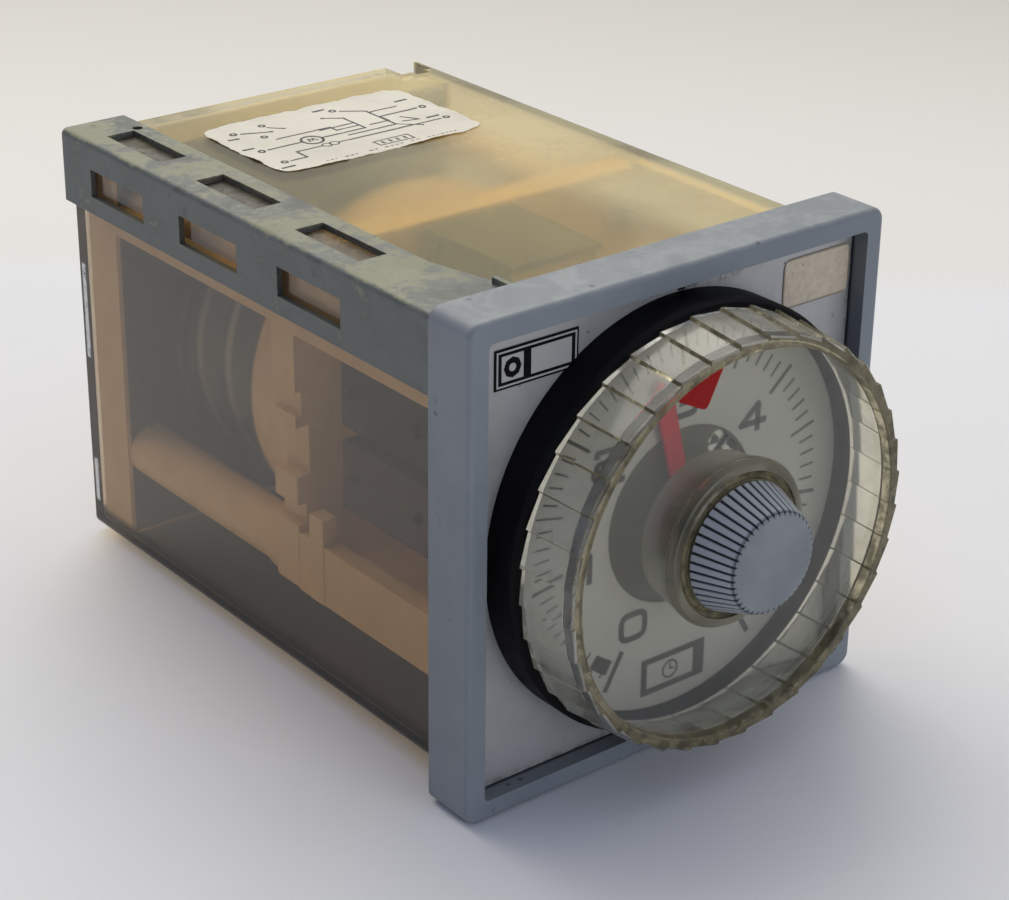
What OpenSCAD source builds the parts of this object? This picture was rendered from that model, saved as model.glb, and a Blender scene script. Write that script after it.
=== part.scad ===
// Panel-mount motor-driven timer: square bezel, clear knurled setting dial, clear case, clamp strips
// and plug-in rear base. Frame: origin at the centre of the bezel's back face, front faces -Y,
// body runs towards +Y, +X right as seen from the front, +Z up. Units are millimetres.

/* [Bezel and face] */
// Outer width and height of the square bezel
bezel_w = 72; // [68:0.5:76]
// Bezel depth in front of the panel
bezel_t = 8.4; // [6:0.1:12]
// Width of the bezel's rim around the face plate
rim_w = 3; // [2:0.1:5]
// Depth of the face recess behind the rim
recess_t = 2.8; // [1:0.1:4]
// Radius of the bezel's outer corners
corner_r = 2; // [0.8:0.1:4]
// Rounding of the bezel's front edge
edge_r = 0.8; // [0.2:0.1:1.5]

/* [Dial] */
// Outer radius of the black dial surround
ring_r = 31.1; // [28:0.1:32]
// Outer radius of the knurled clear dial at its rear
dial_r = 30.35; // [27:0.05:31.5]
// Number of knurl facets round the dial
dial_facets = 36; // [24:1:60]
// Front face of the dial's rim, distance ahead of the panel plane
dial_front = 21; // [18:0.1:24]
// Rear edge of the dial's skirt
dial_rear = 11.5; // [10:0.1:14]
// Radius of the opening inside the dial's front rim
lip_r = 27.6; // [24:0.1:28.4]
// Plane of the printed scale
scale_y = 8.26; // [7.8:0.01:9]
// Dial angle of the zero mark, clockwise from the top
zero_deg = -151.25; // [-170:0.25:-90]
// Degrees per scale unit
unit_deg = 50; // [20:1:60]
// Dial angle of the set pointer at rest
set_deg = -18; // [-150:1:148]
// Dial angle of the elapsed-time hand at rest
hand_deg = -15; // [-150:1:148]

/* [Knob] */
// Front radius of the centre knob
knob_r0 = 7.4; // [6:0.1:9]
// Rear radius of the centre knob
knob_r1 = 9.3; // [7:0.1:11]
// Front face of the knob, distance ahead of the panel plane
knob_front = 26.7; // [24:0.1:30]
// Number of flutes on the knob
knob_flutes = 44; // [24:1:60]

/* [Case] */
// Outer width of the clear case
case_w = 65.6; // [62:0.1:66]
// Outer height of the clear case
case_h = 65.4; // [62:0.1:66]
// Rear face of the case behind the panel plane
case_d = 93; // [80:0.5:110]
// Wall thickness of the case
wall = 1.5; // [1:0.1:2.5]
// Sheet thickness of the clamp strips
strip_t = 0.9; // [0.6:0.1:1.5]

/* [Works] */
// Gear module of the train in the front bay
gm = 0.5; // [0.4:0.05:0.6]
// Teeth on the main wheel that carries the hand
main_n = 60; // [48:1:72]
// Teeth on the intermediate wheels
mid_n = 48; // [36:1:54]
// Teeth on the pinions
pin_n = 12; // [10:1:14]
// Height of the motor's axis
can_z = 2; // [0:0.5:4]
// Radius of the motor can
can_r = 24; // [20:0.5:25]

/* [Hidden] */
$fn = 96;
bw = bezel_w / 2;
floor_y = bezel_t - recess_t;
chw = case_w / 2;
chh = case_h / 2;
qx = 17.6;
qz = -3.9;
qa = atan2(qx, qz);
px = 8.4;
pz = 8.0;
mx = 2.9;
mz = -6.9;
thin = 0.08;
pin_c = 9.525;
pin_r = 1.18;
C_BLUE = [0.46, 0.52, 0.60];
C_TAN = [0.80, 0.66, 0.50];
C_STEEL = [0.62, 0.64, 0.62];
C_BRASS = [0.80, 0.66, 0.36];
C_BLACK = [0.03, 0.03, 0.035];
C_WHITE = [0.88, 0.87, 0.82];

// solid from y0 to y1, with children drawn in x, z as seen from the front
module yext(y0, y1)
{
    translate([0, y1, 0]) rotate([90, 0, 0]) linear_extrude(y1 - y0) children();
}

// turned solid along Y between y0 and y1, centred at x, z
module ycyl(y0, y1, r, x = 0, z = 0)
{
    translate([x, y0, z]) rotate([-90, 0, 0]) cylinder(h = y1 - y0, r = r);
}

module ycone(y0, y1, ra, rb, x = 0, z = 0)
{
    translate([x, y0, z]) rotate([-90, 0, 0]) cylinder(h = y1 - y0, r1 = ra, r2 = rb);
}

module box(a, b)
{
    translate(a) cube([b[0] - a[0], b[1] - a[1], b[2] - a[2]]);
}

// rectangle with rounded corners, centred
module rrect(w, h, r)
{
    square([w - 2 * r, h], center = true);
    square([w, h - 2 * r], center = true);
    for (i = [-1, 1], j = [-1, 1])
        translate([i * (w / 2 - r), j * (h / 2 - r)]) circle(r, $fn = 48);
}

// place children at dial angle a, radius r, turned so their up points outward
module dial_at(a, r)
{
    rotate(-a) translate([0, r]) children();
}

// a printed stroke from p to q of width w
module stroke(p, q, w)
{
    d = q - p;
    translate((p + q) / 2) rotate(atan2(d[1], d[0])) square([norm(d) + w, w], center = true);
}

module path(pts, w)
{
    for (i = [0 : len(pts) - 2])
        stroke(pts[i], pts[i + 1], w);
}

// flat spur gear in x, z with one tooth (or gap, with off = 0.5) pointing at angle a
function tooth(n, m, i, a, off) = let (p = 360 / n, c = a + (i + off) * p, rp = n * m / 2)
    [for (k = [[-0.30, rp - 1.1 * m], [-0.115, rp + 0.8 * m], [0.115, rp + 0.8 * m], [0.30, rp - 1.1 * m]])
        [k[1] * sin(c + k[0] * p), k[1] * cos(c + k[0] * p)]];

module gear2d(n, m, a, off = 0)
{
    polygon([for (i = [0 : n - 1]) each tooth(n, m, i, a, off)]);
}

// the profile of a bezel edge: square to the back, rounded at the outer front
module edge_profile(w)
{
    square([w - edge_r, bezel_t]);
    square([w, bezel_t - edge_r]);
    translate([w - edge_r, bezel_t - edge_r]) circle(edge_r, $fn = 48);
}

module bezel()
{
    color(C_BLUE)
    difference()
    {
        bezel_solid();
        yext(-bezel_t - 1, -floor_y + 0.4) rrect(bezel_w - 2 * rim_w, bezel_w - 2 * rim_w, 0.8);
        ycyl(-bezel_t, 1, 29.8);
        yext(-2.3, 1) rrect(case_w + 0.3, case_h + 0.3, 1.6);
        // shallow step that leaves only the rim resting on the panel
        yext(-0.5, 1) rrect(68.4, 68.4, 1.6);
    }
}

// bezel outside: extruded sides and turned corners, all with the same rounded front edge
module bezel_solid()
{
    c = bw - corner_r;
    yext(-bezel_t, 0) square(2 * c, center = true);
    for (k = [0 : 3])
        rotate([0, 90 * k, 0])
        {
            translate([c, 0, -c]) linear_extrude(2 * c) mirror([0, 1]) edge_profile(corner_r);
            translate([c, 0, c]) rotate([90, 0, 0]) rotate_extrude() edge_profile(corner_r);
        }
}

module face_plate()
{
    color([0.72, 0.73, 0.72])
    difference()
    {
        yext(-floor_y, -floor_y + 0.38) rrect(bezel_w - 2 * rim_w - 0.3, bezel_w - 2 * rim_w - 0.3, 0.7);
        ycyl(-bezel_t, 0, 29.9);
    }
}

module dial_surround()
{
    color(C_BLACK)
    rotate([90, 0, 0]) rotate_extrude()
        polygon([[29.2, 11.2], [30.7, 11.2], [ring_r, 10.7], [ring_r, floor_y + 0.02], [29.6, floor_y + 0.02],
            [29.6, 2.6], [26.5, 2.6], [26.5, 7.68], [29.2, 7.68]]);
}

module badge()
{
    color(C_BLACK)
    difference()
    {
        translate([-23.2, 0, 27.7]) yext(-floor_y - 0.16, -floor_y) square([13.6, 5.5], center = true);
        ycyl(-bezel_t, 0, ring_r + 0.05);
    }
}

// light cells and the thin light outline of the badge, with a plain gear mark in the left cell
module badge_print()
{
    color([0.74, 0.74, 0.71])
    translate([-23.2, 0, 27.7]) yext(-floor_y - 0.2, -floor_y - 0.16)
    {
        difference()
        {
            square([13.0, 4.9], center = true);
            square([12.5, 4.4], center = true);
            translate([23.2, -27.7]) circle(ring_r + 0.05);
        }
        translate([2.35, 0]) square([6.6, 3.5], center = true);
        difference()
        {
            translate([-3.95, 0]) square([3.5, 3.5], center = true);
            translate([-3.95, 0]) gear2d(8, 0.3, 0);
            translate([-3.95, 0]) circle(1.35, $fn = 48);
        }
        translate([-3.95, 0]) circle(0.55, $fn = 48);
    }
}

module tag_sticker()
{
    color([0.78, 0.72, 0.64])
    translate([26.2, 0, 27.2]) yext(-floor_y - 0.12, -floor_y) rrect(12.6, 7.2, 1.4);
}

// dark index mark at the top of the face
module index_mark()
{
    color(C_BLACK)
    yext(-floor_y - 0.1, -floor_y)
        translate([1.1, 31.9]) square([1.2, 1.4], center = true);
}

module clear_case()
{
    color([0.72, 0.66, 0.48, 0.4])
    difference()
    {
        yext(-2.2, case_d) rrect(case_w, case_h, 1.5);
        yext(-3, case_d - wall) rrect(case_w - 2 * wall, case_h - 2 * wall, 0.8);
        ycyl(case_d - 5, case_d + 1, 18.3);
        for (i = [-1, 1], j = [-1, 1])
            ycyl(case_d - 5, case_d + 1, 1.7, i * 25.5, j * 25.5);
        // moulded notch in the rear edge of the top wall
        box([25.5, case_d - 4.5, chh - wall - 1.2], [31.2, case_d + 1, chh + 1]);
        // chamfer-like relief where the notch meets the side
        box([27.5, case_d - 6, chh - wall - 0.4], [30, case_d + 1, chh + 1]);
    }
}

// one slotted angle strip at the top left corner of the case
module strip_solid()
{
    x0 = -chw - 0.1;
    z0 = chh + 0.1;
    difference()
    {
        union()
        {
            // side flange and top flange
            box([x0 - strip_t, 0.2, 22.4], [x0, 94.2, z0 + strip_t - 1.0]);
            box([x0 - strip_t + 1.0, 0.2, z0], [-23, 94.2, z0 + strip_t]);
            // outer bend
            difference()
            {
                ycyl(0.2, 94.2, 1.0, x0 - strip_t + 1.0, z0 + strip_t - 1.0);
                box([x0, 0, z0 - 3], [x0 + 4, 95, z0]);
            }
            // flange widens beside the bezel
            translate([0, 0, z0]) linear_extrude(strip_t)
                polygon([[-23.5, 0.2], [-20.4, 0.2], [-20.4, 6], [-23, 17], [-23.5, 17]]);
            // turned-up tab at the front inner corner
            box([-21.2, 2.3, z0], [-20.4, 6, z0 + strip_t + 0.9]);
            // rear hook that catches the back edge of the case
            box([x0 - strip_t + 0.4, 93.3, 25], [x0 + 4.2, 94.2, z0 + strip_t - 0.6]);
            box([x0 - strip_t + 0.6, 93.3, z0 - 4.2], [-25, 94.2, z0 + strip_t - 0.4]);
        }
        // slots
        for (y = [30, 54.8, 79.4])
        {
            box([-30.3, y - 7.4, z0 - 1], [-25.7, y + 7.4, z0 + 3]);
            box([x0 - 3, y - 8, 25.1], [x0 + 0.6, y + 6.8, 29.4]);
        }
        // small punched dimple hole at the rear
        translate([-24.6, 87.5, z0 - 1]) cylinder(h = 4, r = 0.8);
    }
}

module clamp_strip_upper()
{
    color(C_STEEL) strip_solid();
}

module clamp_strip_lower()
{
    color(C_STEEL) rotate([0, 180, 0]) strip_solid();
}

module wiring_label()
{
    color([0.88, 0.86, 0.80])
    box([-17.7, 58.6, chh], [20.4, 83.4, chh + 0.12]);
}

// plain circuit lines and circles on the label
module label_print()
{
    color([0.12, 0.12, 0.13])
    translate([1.35, 71, chh + 0.12]) linear_extrude(0.05)
    {
        path([[-14, 6], [-3, 6], [-3, 3], [6, 3]], 0.35);
        path([[-14, -6], [-6, -6], [-6, -1], [2, -1], [2, -6], [14, -6]], 0.35);
        path([[-14, 1], [-8.6, 1]], 0.35);
        path([[-5.4, 1], [10, 1], [10, 7], [14, 7]], 0.35);
        path([[6, 3], [8.6, 4.6]], 0.35);
        path([[9, 3], [14, 3]], 0.35);
        path([[2, -3.5], [14, -3.5]], 0.35);
        for (p = [[-7, 1], [4, 8]])
            translate(p) difference()
            {
                circle(1.6, $fn = 32);
                circle(1.25, $fn = 32);
            }
        translate([0, -8.6]) difference()
        {
            square([6, 2.2], center = true);
            square([5.4, 1.6], center = true);
        }
    }
}

module arbor_holes(y0, y1, c)
{
    ycyl(y0, y1, 2.6 + c);
    ycyl(y0, y1, 1.0 + c, qx, qz);
    ycyl(y0, y1, 1.0 + c, px, pz);
}

// front chassis plate just behind the bezel
module front_plate()
{
    color(C_TAN)
    difference()
    {
        yext(0.6, 3.4) rrect(62.2, 61.8, 1.2);
        arbor_holes(0, 4, 0.06);
        // lightening windows
        yext(0, 4) translate([-18, 18]) rrect(14, 12, 1.5);
        yext(0, 4) translate([-18, -20]) rrect(14, 10, 1.5);
        yext(0, 4) translate([20, 22]) rrect(12, 9, 1.5);
    }
}

// middle plate with the round collar that holds the motor
module mid_plate()
{
    color(C_TAN)
    {
        difference()
        {
            union()
            {
                yext(36, 41.5) difference()
                {
                    translate([0, 4.5]) rrect(62.2, 50.4, 1.2);
                    // stepped snap notches in the left and right edges
                    for (s = [-1, 1])
                    {
                        translate([s * 31.1, 1.2]) square([4.4, 7.6], center = true);
                        translate([s * 31.1, -8.6]) square([3, 3.2], center = true);
                        translate([s * 31.1, 8.6]) square([2, 3.6], center = true);
                    }
                }
                ycyl(41.5, 54, 26.6, 0, can_z);
            }
            ycyl(45.9, 55, can_r + 0.15, 0, can_z);
            ycyl(35, 46, 21.5, 0, can_z);
        }
        // web across the collar carries the rear bearings
        difference()
        {
            ycyl(36, 38.6, 21.6, 0, can_z);
            ycyl(35, 40, 1.5 + 0.06);
            ycyl(35, 40, 1.0 + 0.06, qx, qz);
            ycyl(35, 40, 1.0 + 0.06, mx, mz);
            for (a = [200, 260, 100])
                ycyl(35, 40, 3.2, 14 * sin(a), can_z + 14 * cos(a));
        }
    }
}

module rear_plate()
{
    color(C_TAN)
    difference()
    {
        yext(83, 90.8) rrect(62.2, 61.8, 1.2);
        ycyl(82, 92, 17.2);
        for (i = [-1, 1], j = [-1, 1])
            ycyl(84, 92, 1.1, i * 25.5, j * 25.5);
    }
}

module spacer_posts()
{
    color(C_TAN)
    for (i = [-1, 1])
    {
        ycyl(41.5, 83, 4, i * 26.8, -17);
        ycyl(41.5, 44, 4.4, i * 26.8, -17);
        ycyl(41.5, 83, 3, i * 26.2, 23);
    }
}

// lower side bars and their upright ribs in the front bay
module lower_rails()
{
    color(C_TAN)
    for (s = [-1, 1])
    {
        box([s * 29.6 - 1.4, 3.4, -20.4], [s * 29.6 + 1.4, 36, -11.2]);
        box([s * 29.9 - 1.2, 29.9, -20.4], [s * 29.9 + 1.2, 33.2, -7.0]);
    }
}

module top_rails()
{
    color(C_TAN)
    for (s = [-1, 1])
    {
        box([s * 30.2 - 0.9, 3.4, 19.2], [s * 30.2 + 0.9, 36, 30.6]);
        box([s * 30.2 - 0.9, 41.5, 19.6], [s * 30.2 + 0.9, 83, 24.0]);
    }
}

// floor of the front bay with raised terminal blocks
module shelf()
{
    color(C_TAN)
    {
        box([-27.4, 3.4, -20.2], [27.4, 36, -18.4]);
        for (k = [0 : 3])
            box([-25.5 + k * 6.4, 8, -18.4], [-21 + k * 6.4, 22, -16.0]);
    }
}

module scale_disc()
{
    color([0.66, 0.67, 0.65])
    difference()
    {
        ycyl(-scale_y, -7.7, 28.9);
        ycyl(-9, -7, 12.9);
    }
}

module digit(n)
{
    w = 4.0;
    h = 3.7;
    t = 0.9;
    translate([-w / 2, -h / 2])
    {
        if (n == 0) path([[0, 0], [w, 0], [w, h], [0, h], [0, 0]], t);
        if (n == 1) path([[w / 2, 0], [w / 2, h]], t);
        if (n == 2) path([[0, h], [w, h], [w, h / 2], [0, h / 2], [0, 0], [w, 0]], t);
        if (n == 3) path([[0, h], [w, h], [w, 0], [0, 0]], t);
        if (n == 3) path([[0.8, h / 2], [w, h / 2]], t);
        if (n == 4) path([[0.7 * w, 0], [0.7 * w, h], [0, 0.28 * h], [w, 0.28 * h]], t);
        if (n == 5) path([[w, h], [0, h], [0, h / 2], [w, h / 2], [w, 0], [0, 0]], t);
        if (n == 6) path([[w, h], [0, h], [0, 0], [w, 0], [w, h / 2], [0, h / 2]], t);
    }
}

// scale marks: tick every tenth of a unit, numbers 0 to 6, zero flag, boxed clock sign
module scale_print()
{
    color([0.16, 0.16, 0.16])
    yext(-scale_y - thin, -scale_y)
    {
        for (i = [1 : 59])
        {
            r0 = i % 10 == 0 ? 20.6 : (i % 5 == 0 ? 20.9 : 22.3);
            w = i % 10 == 0 ? 0.55 : 0.32;
            dial_at(zero_deg + i * unit_deg / 10, (r0 + 25.6) / 2) square([w, 25.6 - r0], center = true);
        }
        for (n = [0 : 6])
            translate([16.6 * sin(zero_deg + n * unit_deg), 16.6 * cos(zero_deg + n * unit_deg)]) digit(n);
        for (n = [0, 6])
            dial_at(zero_deg + n * unit_deg, 23.2) square([0.8, 6], center = true);
        rotate(-zero_deg - 4.6) translate([0, 23]) square([3.4, 2.2], center = true);
        translate([-0.3, -23.7]) difference()
        {
            square([11.6, 5.7], center = true);
            translate([-0.6, 0]) square([8.8, 3.9], center = true);
        }
        translate([-0.9, -23.7]) difference()
        {
            circle(1.45, $fn = 32);
            circle(1.15, $fn = 32);
        }
        translate([-0.9, -23.7]) path([[0.6, 0], [0, 0], [0, 0.8]], 0.25);
    }
}

// dark plate seen through the middle of the scale, with a window onto the running wheel
module hub_plate()
{
    color([0.26, 0.26, 0.21])
    difference()
    {
        ycyl(-7.7, -7.2, 26.4);
        ycyl(-8, -7, 3.2);
        yext(-8, -7) window2d();
    }
}

module window2d()
{
    translate([7.6, 7.7]) rotate(-45) rrect(6.2, 3.4, 1.6);
}

// one planar facet of the tapered knurl, set at angle a
module dial_facet(a)
{
    h = dial_front - dial_rear;
    rotate([0, a, 0])
        translate([0, -dial_rear, dial_r - 0.75]) rotate([5.7, 0, 0]) rotate([0, 5.5, 0])
            translate([-2.62, -h - 1.5, -1.2]) cube([5.3, h + 3, 1.72]);
}

module dial_cap()
{
    color([0.86, 0.84, 0.70, 0.35])
    union()
    {
        difference()
        {
            union()
            {
                ycone(-dial_front, -dial_rear, dial_r - 1.4, dial_r - 0.5);
                for (i = [0 : dial_facets - 1])
                    dial_facet(i * 360 / dial_facets);
            }
            ycyl(-dial_front - 3, -dial_front, 34);
            ycyl(-dial_rear, -dial_rear + 3, 34);
            ycone(-19.3, -dial_rear + 0.01, 28.0, 28.9);
            ycyl(-dial_front - 1, -19.3, lip_r);
        }
        // window disc
        difference()
        {
            ycyl(-19.4, -18.3, 28.2);
            ycyl(-20, -18, 10.5);
        }
        // hub boss with a bore for the knob's stem
        rotate([90, 0, 0]) rotate_extrude()
            polygon([[3.0, 20.2], [11.2, 20.2], [11.9, 19.6], [11.9, 18.8], [10.9, 12.6], [9.6, 12.6],
                [10.2, 18.3], [4.6, 18.3], [4.6, 12.6], [3.0, 12.6]]);
    }
}

module center_knob()
{
    color([0.50, 0.56, 0.64])
    {
        difference()
        {
            union()
            {
                ycone(-knob_front + 0.5, -20.5, knob_r0, knob_r1);
                ycone(-knob_front, -knob_front + 0.5, knob_r0 - 0.5, knob_r0);
            }
            for (i = [0 : knob_flutes - 1])
                rotate([0, i * 360 / knob_flutes, 0])
                    translate([0, -20.4, knob_r1 + 0.03]) rotate([18.4, 0, 0]) rotate([0, 45, 0])
                        translate([-0.28, -8, -0.28]) cube([0.56, 9, 0.56]);
        }
        ycyl(-20.6, -13.2, 2.95);
    }
}

// red triangular set pointer lying on the dial's window, apex inward
module set_pointer()
{
    color([0.52, 0.06, 0.05])
    yext(-19.95, -19.4) dial_at(set_deg, 0)
        polygon([[-4.6, 27], [4.6, 27], [3.9, 26], [0.8, 22.7], [0, 22.4], [-0.8, 22.7], [-3.9, 26]]);
}

module set_spindle()
{
    color(C_BRASS)
    {
        ycyl(-13.2, 38.4, 1.5);
        ycyl(-13.2, -12.7, 2.6);
    }
}

// stop cam on the set spindle
module stop_cam()
{
    color(C_WHITE)
    difference()
    {
        union()
        {
            ycyl(16, 18.4, 8);
            ycyl(15.4, 20, 3.4);
        }
        ycyl(15, 21, 1.5);
        yext(15.9, 18.5) dial_at(set_deg + 150, 7.6) rrect(2.4, 3, 0.4);
    }
}

module elapsed_hand()
{
    color([0.80, 0.22, 0.26, 0.8])
    difference()
    {
        union()
        {
            yext(-9.7, -9.1) dial_at(hand_deg, 0)
                polygon([[-1.6, 3.2], [-1.5, 12], [-1.6, 19.4], [0, 21.4], [1.6, 19.4], [1.5, 12], [1.6, 3.2]]);
            ycyl(-9.7, -9.1, 4.6);
        }
        ycyl(-11, -8, 2.56);
    }
}

module hand_sleeve()
{
    color(C_BRASS)
    difference()
    {
        union()
        {
            ycyl(-11.2, 14.4, 2.56);
            ycyl(11.2, 12.2, 4.4);
        }
        ycyl(-12, 15, 1.56);
    }
}

module main_wheel()
{
    color(C_BRASS)
    difference()
    {
        yext(12.2, 13.8) gear2d(main_n, gm, qa, 0);
        ycyl(11, 15, 2.56);
        for (a = [0 : 72 : 359])
            ycyl(11, 15, 3, 9 * sin(a), 9 * cos(a));
    }
}

// two wheels and a pinion on the intermediate arbor
module intermediate_wheels()
{
    color(C_WHITE)
    difference()
    {
        translate([qx, 0, qz]) union()
        {
            yext(4.6, 6.0) gear2d(mid_n, gm, atan2(px - qx, pz - qz), 0);
            yext(11.8, 14.2) gear2d(pin_n, gm, atan2(-qx, -qz), 0.5);
            yext(20.2, 21.8) gear2d(mid_n, gm, atan2(mx - qx, mz - qz), 0);
            ycyl(6.0, 11.8, 2.2);
            ycyl(14.2, 20.2, 2.2);
        }
        ycyl(4, 23, 1.0, qx, qz);
    }
}

module intermediate_arbor()
{
    color(C_STEEL) ycyl(0.9, 38.2, 1.0, qx, qz);
}

module indicator_wheel()
{
    color([0.93, 0.93, 0.90])
    difference()
    {
        translate([px, 0, pz]) union()
        {
            yext(-6.9, -6.0) gear2d(14, 0.42, 30, 0);
            ycyl(-6.0, -4.6, 1.8);
        }
        ycyl(-7, -4, 1.0, px, pz);
    }
}

// dark stripe across the running wheel shows that it turns
module indicator_stripe()
{
    color(C_BLACK)
    translate([px, 0, pz]) yext(-7.0, -6.9) rotate(38) square([5.2, 0.8], center = true);
}

module indicator_arbor()
{
    color(C_STEEL)
    {
        ycyl(-6.8, 8.0, 1.0, px, pz);
        translate([px, 0, pz]) yext(4.3, 6.4) gear2d(pin_n, gm, atan2(qx - px, qz - pz), 0.5);
    }
}

module drive_gears()
{
    color(C_BRASS)
    difference()
    {
        translate([mx, 0, mz]) union()
        {
            yext(19.6, 22.4) gear2d(pin_n, gm, atan2(qx - mx, qz - mz), 0.5);
            yext(49.6, 51.2) gear2d(37, 0.4, atan2(-mx, can_z - mz), 0);
        }
        ycyl(19, 52, 1.0, mx, mz);
    }
}

module drive_arbor()
{
    color(C_STEEL) ycyl(19.2, 54.9, 1.0, mx, mz);
}

module motor_can()
{
    color([0.55, 0.56, 0.55])
    difference()
    {
        union()
        {
            ycyl(46, 78, can_r, 0, can_z);
            ycyl(54.2, 55.6, 25.6, 0, can_z);
            ycyl(76.4, 78, 24.6, 0, can_z);
        }
        ycyl(46.8, 77.2, can_r - 0.8, 0, can_z);
        ycyl(45, 48, 3.0, mx, mz);
    }
}

module motor_bridge()
{
    color(C_STEEL)
    difference()
    {
        ycyl(54.2, 55.2, can_r - 0.85, 0, can_z);
        ycyl(54, 56, 1.06, 0, can_z);
        ycyl(54, 56, 1.06, mx, mz);
        for (a = [20, 100, 260, 330])
            ycyl(54, 56, 4, 15 * sin(a), can_z + 15 * cos(a));
    }
}

module stator_coil()
{
    color([0.62, 0.30, 0.16])
    difference()
    {
        union()
        {
            ycyl(60, 74, 21.5, 0, can_z);
            ycyl(58.5, 60, 23.1, 0, can_z);
            ycyl(74, 75.5, 23.1, 0, can_z);
        }
        ycyl(58, 76, 12, 0, can_z);
    }
}

module rotor()
{
    color([0.25, 0.25, 0.27])
    difference()
    {
        ycyl(59, 75, 11.4, 0, can_z);
        ycyl(58, 76, 1.0, 0, can_z);
    }
}

module rotor_shaft()
{
    color(C_STEEL)
    {
        ycyl(48.2, 77.0, 1.0, 0, can_z);
        translate([0, 0, can_z]) yext(49.2, 51.6) gear2d(10, 0.4, atan2(mx, mz - can_z), 0.5);
    }
}

// snap switch body with its lever side facing the middle, and two ears for the lever's pivot
module switch_cut(z0)
{
    for (e = [1.5, -2.1])
        box([-20.3, 25.3, z0 + 5.2 + e], [-18.4, 27.5, z0 + 5.8 + e]);
    difference()
    {
        box([-29.1, 7.2, z0], [-20.2, 27.6, z0 + 10.4]);
        for (y = [10.2, 24.6])
            translate([-31, y, z0 + 5.2]) rotate([0, 90, 0]) cylinder(h = 16, r = 1.2);
        box([-23, 12.9, z0 + 4.0], [-20, 14.7, z0 + 6.4]);
    }
}

module switch_upper()
{
    color(C_BLACK) switch_cut(8.2);
}

module switch_lower()
{
    color([0.40, 0.29, 0.19]) switch_cut(-4.4);
}

module switch_terminals()
{
    color(C_BRASS)
    for (z0 = [8.2, -4.4], y = [11.5, 17.4, 23.3])
        box([-26.6, y - 1.5, z0 - 2.0], [-26.0, y + 1.5, z0]);
}

module lever_at(z0)
{
    translate([0, 0, z0 + 5.2])
    {
        box([-19.3, 8.4, -1.4], [-18.9, 26.2, 1.4]);
        translate([-19.1, 26.4, -1.4]) cylinder(h = 2.8, r = 0.55);
        translate([-18.3, 9.0, -1.0]) cylinder(h = 2.0, r = 0.9);
    }
}

module lever_upper()
{
    color(C_STEEL) lever_at(8.2);
}

module lever_lower()
{
    color(C_STEEL) lever_at(-4.4);
}

module plunger_at(z0)
{
    box([-21.6, 13.1, z0 + 4.2], [-19.45, 14.5, z0 + 6.2]);
}

module plunger_upper()
{
    color([0.75, 0.20, 0.14]) plunger_at(8.2);
}

module plunger_lower()
{
    color([0.75, 0.20, 0.14]) plunger_at(-4.4);
}

module clutch_bobbin()
{
    color([0.20, 0.20, 0.18])
    translate([-3, 0, 22.4]) difference()
    {
        union()
        {
            yext(17.4, 18.6) rrect(15.6, 12.4, 1);
            yext(31.4, 32.6) rrect(15.6, 12.4, 1);
            ycyl(18.6, 31.4, 3.2);
        }
        ycyl(16, 34, 2.3);
    }
}

module clutch_winding()
{
    color([0.24, 0.24, 0.15])
    translate([-3, 0, 22.4]) difference()
    {
        yext(18.6, 31.4) rrect(14.8, 11.6, 2.2);
        ycyl(18, 32, 3.2);
    }
}

module clutch_yoke()
{
    color(C_STEEL)
    {
        box([-11.0, 32.6, 16.2], [5.0, 34.2, 29.9]);
        box([-11.0, 14.6, 28.8], [5.0, 32.6, 29.9]);
    }
}

module clutch_core()
{
    color(C_STEEL)
    ycyl(16.9, 32.6, 2.3, -3, 22.4);
}

// armature plate that rocks about the yoke's front edge
module clutch_armature()
{
    color(C_STEEL)
    {
        box([-10.2, 14.9, 17.2], [4.2, 15.9, 28.4]);
        box([-4.2, 13.6, 17.2], [-1.8, 14.9, 18.4]);
        // rounded pivot edge
        translate([-10.2, 15.4, 28.4]) rotate([0, 90, 0]) cylinder(h = 14.4, r = 0.35);
    }
}

module plug_base()
{
    color([0.10, 0.09, 0.09])
    difference()
    {
        union()
        {
            ycyl(84, 94.5, 17.1);
            ycyl(93.05, 96.5, 19.4);
            ycyl(96.5, 106, 3.9);
            box([-1, 96.5, 3.2], [1, 106, 5.2]);
        }
        for (k = [0 : 10])
            ycyl(85.6, 97, 1.0, pin_c * sin((k + 0.5) * 360 / 11), pin_c * cos((k + 0.5) * 360 / 11));
    }
}

module plug_pins()
{
    color(C_STEEL)
    for (k = [0 : 10])
    {
        x = pin_c * sin((k + 0.5) * 360 / 11);
        z = pin_c * cos((k + 0.5) * 360 / 11);
        ycyl(86, 96.5, 1.0, x, z);
        ycyl(96.5, 106.8, pin_r, x, z);
        ycone(106.8, 107.3, pin_r, 0.7, x, z);
    }
}

module case_screws()
{
    color(C_STEEL)
    for (i = [-1, 1], j = [-1, 1])
        difference()
        {
            union()
            {
                ycyl(85, 93.1, 1.1, i * 25.5, j * 25.5);
                ycone(93.05, 94.6, 2.8, 2.2, i * 25.5, j * 25.5);
            }
            box([i * 25.5 - 3, 94.0, j * 25.5 - 0.35], [i * 25.5 + 3, 95, j * 25.5 + 0.35]);
        }
}

// nuts on the front face of the middle plate, in line with the upper posts
module post_nuts()
{
    color(C_STEEL)
    for (i = [-1, 1])
        translate([i * 26.2, 0, 23]) difference()
        {
            yext(34.2, 36) circle(2.4, $fn = 6);
            ycyl(34, 35.2, 1.2);
        }
}

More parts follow.
